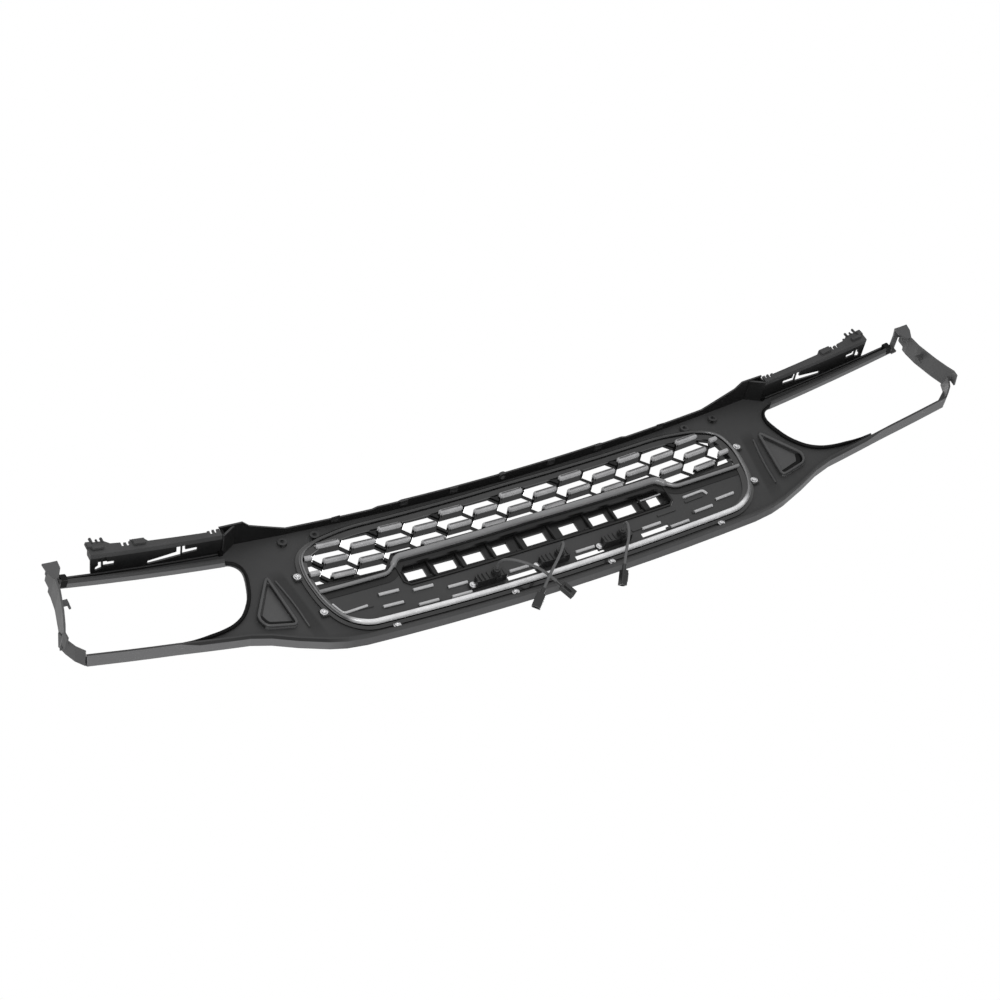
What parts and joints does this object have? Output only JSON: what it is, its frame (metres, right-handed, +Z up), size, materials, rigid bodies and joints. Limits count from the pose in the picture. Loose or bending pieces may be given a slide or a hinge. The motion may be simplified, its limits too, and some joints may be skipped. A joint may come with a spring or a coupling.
{
  "type": "front grille",
  "caption": "Full-width car front grille panel with a honeycomb insert, open headlight surrounds, upper brackets and marker lamps with pigtail cables.",
  "frame": {"origin": "centre of the locating hole in the middle of the top flange", "axes": "+Z up, the grille faces -Y, +X to the right seen from the front"},
  "size_m": [1.5854, 0.1603, 0.2885],
  "materials": {
    "bracket_plastic": "moulded, matt",
    "cable_jacket": "soft taped loom",
    "circuit_board": "solder resist",
    "connector_plastic": "moulded",
    "end_frame_plastic": "moulded, satin",
    "gloss_black": "high gloss black",
    "insert_panel": "moulded, matt grey-black",
    "lamp_lens": "clear amber",
    "lamp_plastic": "matt black",
    "mesh_black": "satin black",
    "panel_plastic": "moulded, fine grain on the back, smooth on the returns",
    "screw_metal": "zinc plated, bright",
    "spring_steel": "phosphated",
    "terminal_metal": "tin plated"
  },
  "bodies": {
    "root": {"centre_cable": "cable_jacket", "centre_connector": "connector_plastic", "centre_connector_pins": "terminal_metal", "centre_lamp_board": "circuit_board", "centre_lamp_housing": "lamp_plastic", "centre_lamp_lens": "lamp_lens", "centre_lamp_plug": "lamp_plastic", "honeycomb": "mesh_black", "insert_rim": "gloss_black", "insert_screws": "screw_metal", "lamp_screws": "screw_metal", "left_bracket_pins": "bracket_plastic", "left_cable": "cable_jacket", "left_connector": "connector_plastic", "left_connector_pins": "terminal_metal", "left_end_clip": "end_frame_plastic", "left_end_frame": "end_frame_plastic", "left_lamp_board": "circuit_board", "left_lamp_housing": "lamp_plastic", "left_lamp_lens": "lamp_lens", "left_lamp_plug": "lamp_plastic", "left_upper_bracket": "bracket_plastic", "lower_panel": "insert_panel", "right_bracket_pins": "bracket_plastic", "right_cable": "cable_jacket", "right_connector": "connector_plastic", "right_connector_pins": "terminal_metal", "right_end_clip": "end_frame_plastic", "right_end_frame": "end_frame_plastic", "right_lamp_board": "circuit_board", "right_lamp_housing": "lamp_plastic", "right_lamp_lens": "lamp_lens", "right_lamp_plug": "lamp_plastic", "right_upper_bracket": "bracket_plastic", "shelf_bar": "mesh_black", "surround_panel": "panel_plastic", "top_clips": "spring_steel", "window_bar": "mesh_black"}
  },
  "joints": []
}
